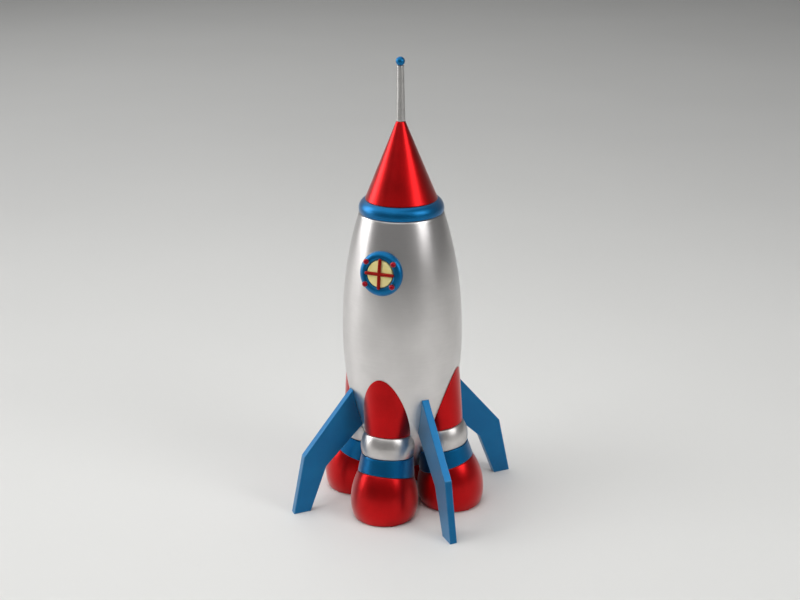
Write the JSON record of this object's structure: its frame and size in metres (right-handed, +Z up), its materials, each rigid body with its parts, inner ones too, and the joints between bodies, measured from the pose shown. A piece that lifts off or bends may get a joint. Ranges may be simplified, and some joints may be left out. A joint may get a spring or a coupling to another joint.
{
  "type": "toy space rocket",
  "caption": "Toy space rocket with a turned hull, ringed nose cone, mast, porthole, swept slab fins and engine pods with bulb ends; it stands on the fin tips and the bulbs' feet.",
  "frame": {"origin": "on the centre line, in the plane that the four fin tips and the four bulb feet stand on", "axes": "+Z up along the hull, -Y out through the porthole and over the front pod, +X to the right when looking at the porthole"},
  "size_m": [0.1572, 0.1572, 0.4],
  "materials": {
    "hull_silver": "spun aluminium, satin",
    "mast_silver": "turned aluminium, satin",
    "collar_silver": "turned aluminium, polished",
    "nose_red": "metallic red lacquer, satin gloss",
    "pod_red": "metallic red lacquer, satin gloss",
    "trim_blue": "metallic blue lacquer, satin gloss",
    "fin_blue": "blue enamel, semi-matt",
    "window_cream": "cream acrylic lens, gloss",
    "window_red": "dark red enamel, satin",
    "rivet_red": "red lacquer, gloss"
  },
  "bodies": {
    "root": {"antenna_ball": "trim_blue", "antenna_mast": "mast_silver", "nose_cone": "nose_red", "nose_ring": "trim_blue", "hull": "hull_silver", "porthole_ring": "trim_blue", "porthole_glass": "window_cream", "porthole_cross": "window_red", "porthole_rivet_upper_right": "rivet_red", "porthole_rivet_upper_left": "rivet_red", "porthole_rivet_lower_left": "rivet_red", "porthole_rivet_lower_right": "rivet_red", "pod_front_body": "pod_red", "pod_front_collar": "collar_silver", "pod_front_band": "trim_blue", "pod_front_bulb": "pod_red", "pod_right_body": "pod_red", "pod_right_collar": "collar_silver", "pod_right_band": "trim_blue", "pod_right_bulb": "pod_red", "pod_back_body": "pod_red", "pod_back_collar": "collar_silver", "pod_back_band": "trim_blue", "pod_back_bulb": "pod_red", "pod_left_body": "pod_red", "pod_left_collar": "collar_silver", "pod_left_band": "trim_blue", "pod_left_bulb": "pod_red", "fin_back_right": "fin_blue", "fin_back_left": "fin_blue", "fin_front_left": "fin_blue", "fin_front_right": "fin_blue"}
  },
  "joints": []
}
